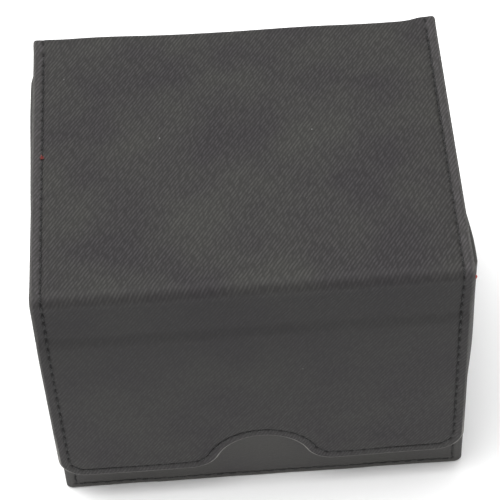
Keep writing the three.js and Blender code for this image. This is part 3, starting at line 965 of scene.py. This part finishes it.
def build_cover():
    back = panel_strip("back_cover", 0, S_MIDDLE_OF_LID, TWILL)
    bend(back, "box", "lid", LID_HINGE, "twill_leather", "back_cover_skin", "back_fold_leather")
    lid = panel_strip("lid_cover", S_MIDDLE_OF_LID, S_MIDDLE_OF_BAND, TWILL)
    bend(lid, "lid", "band", BAND_HINGE, "twill_leather", "lid_cover_skin", "front_fold_leather")
    x, s, inset, depth, u, _, faces = outlined_sheet(
        S_MIDDLE_OF_BAND, lambda s: edge_section(cover_thickness(s)))
    flap = finish_cover("flap_cover", x, s, inset, depth, u, faces, TWILL)
    bend(flap, "band", "flap", FLAP_HINGE, "twill_leather", "band_leather", "flap_cover_skin")


def build_cover_stitches():
    """The loop of stitches, shared out to the three stretches of the cover."""
    middle = (COVER_HOLES[:-1, 1] + COVER_HOLES[1:, 1]) / 2

    def place(x, s, height):
        return on_cover(x, s, height - 0.02)

    stretches = [
        ("back", middle < S_MIDDLE_OF_LID, "box", "lid", LID_HINGE,
         ["back_seam_thread"]),
        ("lid", (middle >= S_MIDDLE_OF_LID) & (middle < S_MIDDLE_OF_BAND), "lid", "band", BAND_HINGE,
         ["lid_seam_thread_left", "lid_seam_thread_right"]),
        ("flap", middle >= S_MIDDLE_OF_BAND, "band", "flap", FLAP_HINGE,
         ["band_seam_thread_left", "band_seam_thread_right", "flap_seam_thread"]),
    ]
    for name, chosen, first, second, line, nodes in stretches:
        pairs = [(COVER_HOLES[k], COVER_HOLES[k + 1]) for k in np.flatnonzero(chosen)]
        thread = stitch_pairs(f"{name}_stitches", pairs, place)
        bend(thread, first, second, line, "black_thread", *nodes)


# ---------------- the body

BODY_CORNERS = (1.2, 1.7)
PLAN = Route([
    (-HALF, BODY_BACK),
    (-HALF, BODY_FRONT, BODY_CORNERS[0]),
    (HALF, BODY_FRONT, BODY_CORNERS[1]),
    (HALF, BODY_BACK),
])
SIDE_RUN = BODY_BACK - BODY_FRONT


def body_seam():
    side, bottom, top = HALF - BODY_SEAM_INSET, BODY_LOW.z + BOTTOM_SEAM, RIM - 1.3
    return np.array([[-side, top], [-side, bottom], [side, bottom], [side, top]])


BODY_HOLES = holes_along(body_seam(), PITCH)


def side_bow(x, y, z):
    """How far the soft side walls bulge: the left most behind the middle, the right most near the front."""
    left = 1.55 * smooth(43, 33, y) * (0.35 + 0.65 * smooth(-44, 25, y))
    right = (0.5 * smooth(43, 20, y) + 1.4 * smooth(-12, -33, y)) * smooth(-41.3, -37, y)
    foot = 0.6 * smooth(30, 8, z) * smooth(43, 35, y)
    return np.where(x < 0, left, right) * smooth(4, 55, z) + foot


def body_ring():
    """(inset, z) round the section of the body's skin: up the outside, over the rim and back down inside."""
    turn = np.linspace(0, math.pi / 2, 6)
    foot, rim, lip = 0.45, 0.85, 0.35
    outside = [(foot * (1 - math.sin(a)), BODY_LOW.z + foot * (1 - math.cos(a))) for a in turn]
    levels = np.concatenate([np.arange(0.9, 3.6, 0.3), np.arange(4.2, RIM - 1.2, PITCH / 4)])
    outside += [(0, z) for z in levels]
    over = [(rim * (1 - math.cos(a)), RIM - rim * (1 - math.sin(a))) for a in turn]
    wall = HALF - INNER_HALF
    across = [(inset, RIM) for inset in np.linspace(rim, wall - lip, 6)[1:-1]]
    inside = [(wall - lip * (1 - math.sin(a)), RIM - lip * (1 - math.cos(a))) for a in turn]
    under = [
        (wall, RIM - 0.85), (wall - 0.1, RIM - 0.9), (1.0, RIM - 0.9),
        (0.9, RIM - 1.0), (0.9, BODY_LOW.z),
    ]
    return np.array(outside + over + across + inside + under)


BODY_WAVE = 0.8
BODY_GROOVE_DEPTH = 0.14
BODY_PIT_DEPTH = 0.45


def build_body():
    side = np.concatenate([np.arange(0, SIDE_RUN - 4, 2.4), np.arange(SIDE_RUN - 4, SIDE_RUN, 0.35)])
    front = np.arange(SIDE_RUN, PLAN.length - SIDE_RUN, STATION)
    s = np.concatenate([side, front, (PLAN.length - side)[::-1]])
    ring = body_ring()
    place, out = PLAN.at(s), PLAN.out(s)
    inset, z = np.tile(ring[:, 0], (len(s), 1)), np.tile(ring[:, 1], (len(s), 1))
    x = np.clip(place[:, None, 0] - out[:, None, 0] * inset, inset - HALF, HALF - inset)
    y = np.maximum(place[:, None, 1] - out[:, None, 1] * inset, BODY_FRONT + inset)
    on_front = (out[:, 1] < -0.9)[:, None] & (inset < 0.3)
    pit = np.where(on_front, hole_depth(x, z, BODY_HOLES), 0)
    drawn = np.where(on_front, pucker(x, z, BODY_HOLES), 0)
    from_side, from_bottom = HALF - np.abs(x), z - BODY_LOW.z
    edge = np.minimum(from_side, from_bottom)
    groove = np.where(on_front, bell(edge - BODY_SEAM_INSET + 0.3 * (from_bottom < from_side), 0.5), 0)
    outer = smooth(2.0, 0.0, inset)
    uneven = outer * (waviness(place[:, None, 0] + s[:, None], z) * BODY_WAVE)
    relief = uneven - BODY_GROOVE_DEPTH * groove - BODY_PIT_DEPTH * pit - PUCKER_DEPTH * drawn
    bow = side_bow(x, y, z) * smooth(4.2, 0.5, inset) * np.abs(out[:, None, 0])
    points = np.stack([
        x + out[:, None, 0] * (relief + bow),
        y + out[:, None, 1] * relief,
        z,
    ], axis=-1)
    around = distance_along(ring)
    coords = np.stack([np.tile(s[:, None], (1, len(ring))), np.tile(around, (len(s), 1))], axis=-1)
    margin = np.where(on_front, smooth(BODY_SEAM_INSET + 0.3, BODY_SEAM_INSET - 0.4, edge), 0)
    lighter_rim = smooth(1.6, 0.1, RIM - z) * 0.8 + smooth(1.0, 0.1, from_bottom) * outer
    wear = np.stack([margin, np.clip(lighter_rim, 0, 1), pit], axis=-1)
    body = make_piece("body_cover", points.reshape(-1, 3), tube_faces(*x.shape), SMOOTH,
                      coords.reshape(-1, 2), wear.reshape(-1, 3))
    follow(body, "box", "smooth_leather", "body_skin")

    def on_front_panel(x, z, height):
        return np.stack([x, BODY_FRONT - height, z], axis=-1)

    pairs = list(zip(BODY_HOLES, BODY_HOLES[1:]))
    follow(stitch_pairs("front_stitches", pairs, on_front_panel), "box", "black_thread", "front_seam_thread")


# ---------------- soft plates

PLATE_ROUNDING = 0.3
PLATE_SPACING = 2.5


def build_plate(node, piece, body, material, slot, wave=0.6):
    """A thin panel where a CAD node is, with rounded edges and a slightly uneven face."""
    low, high = (np.array(corner) for corner in box_mm(node))
    size = high - low
    thin = int(np.argmin(size))
    p, q = [axis for axis in range(3) if axis != thin]
    half_thick = size[thin] / 2
    ends = np.array([0, 0.05, 0.15, PLATE_ROUNDING])
    between = np.linspace(0.6, size[p] - 0.6, max(8, round(size[p] / PLATE_SPACING)))
    rows = np.concatenate([ends, between, size[p] - ends[::-1]])
    turn = np.linspace(-math.pi / 2, math.pi / 2, 7)
    reach = size[q] - PLATE_ROUNDING
    across = np.linspace(PLATE_ROUNDING, reach, max(8, round(size[q] / 3)))
    right = [(reach + PLATE_ROUNDING * math.cos(a), half_thick * math.sin(a)) for a in turn[::-1]]
    ring = [(v, half_thick) for v in across[:-1]] + right + [(v, -half_thick) for v in across[1:-1][::-1]]
    ring += [(size[q] - v, h) for v, h in right[::-1]]
    ring = np.array(ring)
    from_end = np.minimum(rows, size[p] - rows)
    hem = half_thick * 0.85 * (1 - np.sqrt(np.clip(1 - (1 - from_end / PLATE_ROUNDING) ** 2, 0, 1)))
    hem = np.where(from_end > PLATE_ROUNDING, 0, hem)
    height = np.clip(ring[None, :, 1], -(half_thick - hem[:, None]), half_thick - hem[:, None])
    points = np.zeros((len(rows), len(ring), 3))
    points[..., p] = low[p] + rows[:, None]
    points[..., q] = low[q] + ring[None, :, 0]
    ripple = wave * (waviness(points[..., q], points[..., p]) - 0.06)
    sunk = np.where(ring[None, :, 1] != 0, -np.abs(ripple), 0) * np.sign(height)
    points[..., thin] = low[thin] + half_thick + height + sunk
    around = distance_along(ring)
    coords = np.stack([np.tile(around, (len(rows), 1)), np.tile(rows[:, None], (1, len(ring)))], axis=-1)
    wear = np.zeros((len(rows) * len(ring), 3))
    made = make_piece(piece, points.reshape(-1, 3), tube_faces(len(rows), len(ring)), material,
                      coords.reshape(-1, 2), wear)
    follow(made, body, slot, node)


def ribbon(name, route, half_left, half_right, thickness):
    """A lining strip along a route, with rounded side edges. half_left and half_right are its reach to each
    side at every place along it."""
    s = np.concatenate([[0], np.arange(1, math.floor(route.length / 0.3)) * 0.3, [route.length]])
    place, out = route.at(s), route.out(s)
    turn = np.linspace(math.pi / 2, -math.pi / 2, 7)
    share = np.linspace(-0.99, 0.99, 40)
    half = thickness / 2
    bulge = half * np.cos(turn)
    left, right = -half_left(s)[:, None], half_right(s)[:, None]
    middle = (left + right) / 2 + (right - left) / 2 * share[None, :]
    x = np.hstack([middle, right - half + bulge, middle[:, ::-1], left + half - bulge])
    ones = np.ones_like(middle)
    height = np.hstack([half * ones, np.tile(half * np.sin(turn), (len(s), 1)), -half * ones,
                        np.tile(-half * np.sin(turn), (len(s), 1))])
    height = height + 0.5 * waviness(x, s[:, None])
    points = np.stack([
        x,
        place[:, None, 0] + out[:, None, 0] * height,
        place[:, None, 1] + out[:, None, 1] * height,
    ], axis=-1)
    coords = np.stack([x + 2 * height, np.tile(s[:, None], (1, x.shape[1]))], axis=-1)
    return make_piece(name, points.reshape(-1, 3), tube_faces(*x.shape), RED, coords.reshape(-1, 2))


def steady(value):
    return lambda s: np.full(len(s), float(value))


LINING_DEPTH = 1.5
FLAP_LINING_DEPTH = FLAP_THICKNESS - LINING / 2
LINING_HALF = HALF - 1.0


def band_y(z, depth):
    """Where a layer of the leaning band is, this deep behind its face."""
    return FRONT + depth + BAND_LEAN * (TOP - z) / (TOP - CREASE_HEIGHT)


def build_hinge_linings():
    over = TOP - LINING_DEPTH
    rim_z = RIM - 0.5
    hinge_y = BACK - LINING_DEPTH
    lid_back, lid_front = LID_HIGH.y - 0.5, LID_LOW.y + 0.5
    inner = INNER_HALF - 0.1

    rim = Route([(BACK - (HALF - INNER_HALF), rim_z), (hinge_y - LINING / 2 - 0.1, rim_z)])
    follow(ribbon("back_rim_lining", rim, steady(inner), steady(inner), LINING), "box", "red_lining")
    back = Route([
        (hinge_y, rim_z - 0.3), (hinge_y, over, 0.9), (lid_back, over, 0.5), (lid_back, LID_LOW.z)])
    turn_down = back.nearest(lid_back, over)

    def back_reach(s):
        """Between the side walls at first, then over the whole back edge of the lid's board."""
        return inner + (LINING_HALF - inner) * smooth(turn_down - 0.2, turn_down + 0.4, s)

    bend(ribbon("back_hinge_lining", back, back_reach, back_reach, LINING),
         "box", "lid", LID_HINGE, "red_lining", "back_fold_lining")

    band_middle = COVER.at(S_MIDDLE_OF_BAND)[1]
    front = Route([
        (lid_front, LID_LOW.z), (lid_front, over, 0.5), (band_y(over, LINING_DEPTH), over, 1.5),
        (band_y(band_middle, LINING_DEPTH), band_middle)])
    fold = front.nearest(band_y(over, LINING_DEPTH), over)

    def right_reach(s):
        """The lining's edge slips out past the leather at the right end of the fold."""
        spill = 1.15 * bell(s - fold - 1.2, 1.9) + 0.85 * smooth(0, 1.5, s - fold) * smooth(9, 4, s - fold)
        return LINING_HALF + spill

    bend(ribbon("front_hinge_lining", front, steady(LINING_HALF), right_reach, LINING),
         "lid", "band", BAND_HINGE, "red_lining", "front_fold_lining")

    step_top, step_bottom, butt = CREASE_HEIGHT + 1.9, CREASE_HEIGHT - 0.2, CREASE_HEIGHT - 3
    flap_y = FRONT + FLAP_LINING_DEPTH
    crease = Route([
        (band_y(band_middle, LINING_DEPTH), band_middle), (band_y(step_top, LINING_DEPTH), step_top, 0.8),
        (flap_y, step_bottom, 0.8), (flap_y, butt)])
    bend(ribbon("crease_lining", crease, steady(LINING_HALF), steady(LINING_HALF), LINING),
         "band", "flap", FLAP_HINGE, "red_lining", "band_lining")

    face, back_face = FLAP_THICKNESS - LINING, FLAP_THICKNESS
    inset = np.array([MARGIN_INSET, 1.4, 1.1, 1.02, 1.02, 1.1, 1.4, MARGIN_INSET])
    depth = np.array([
        face, face, face + 0.06, face + 0.2,
        back_face - 0.2, back_face - 0.06, back_face, back_face,
    ])

    def section(s):
        return np.tile(inset, (len(s), 1)), np.tile(depth, (len(s), 1))
    x, s, _, deep, u, v, faces = outlined_sheet(S_END - (butt - FLAP_LOW.z), section)
    soft = 0.4 * waviness(x, s) * smooth(face, back_face, deep)
    points = on_cover(x, s, -deep - np.abs(soft))
    cloth = make_piece("flap_lining_cloth", points, faces, RED, np.stack([u, v], axis=-1))
    follow(cloth, "flap", "red_lining", "flap_lining")


FIBRES_FROM_BACK = 40
FIBRE_RADIUS = 0.09
FIBRE_STEPS = 9
FIBRE_SIDES = 6
FIBRES = ((0.4, 0.9), (1.9, 0.7), (3.3, 0.8), (4.4, 1.0), (5.4, 0.6))
FIBRE_UP = np.array([0.2, 0.3, 1.0])


def build_fibres():
    """A few red lining fibres that the needle drew up through a hole in the lid's left seam. Each has a
    direction and a reach."""
    seam_x, seam_s = SEAM_INSET - HALF, S_LID + FIBRES_FROM_BACK
    hole = COVER_HOLES[np.argmin(np.hypot(COVER_HOLES[:, 0] - seam_x, COVER_HOLES[:, 1] - seam_s))]
    t = np.linspace(0, 1, FIBRE_STEPS)
    radius = FIBRE_RADIUS * (1 - 0.6 * t)
    lines = []
    for turn, reach in FIBRES:
        x = hole[0] + reach * t * math.cos(turn) + 0.12 * np.sin(5 * t + turn)
        s = hole[1] + reach * t * math.sin(turn)
        centre = on_cover(x, s, -0.35 + 0.75 * np.sin(2.4 * t))
        lines.append((centre, FIBRE_UP, radius, t * reach))
    follow(make_tubes("drawn_up_fibres", lines, FIBRE_SIDES, RED), "lid", "red_lining")


# ---------------- assembly

add_camera()
add_studio()
build_cover()
build_cover_stitches()
build_body()
for part in ("bottom", "front", "back", "left", "right"):
    build_plate(f"{part}_lining", f"{part}_lining_cloth", "box", RED, "red_lining")
build_plate("lid_lining", "lid_lining_cloth", "lid", RED, "red_lining")
build_plate("bottom_skin", "base_cover", "box", SMOOTH, "smooth_leather", wave=0.2)
build_hinge_linings()
build_fibres()

for node_name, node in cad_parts.items():
    if not node.hide_render:
        node.data.materials.clear()
        node.data.materials.append(STEEL if "magnet" in node_name else BOARD)
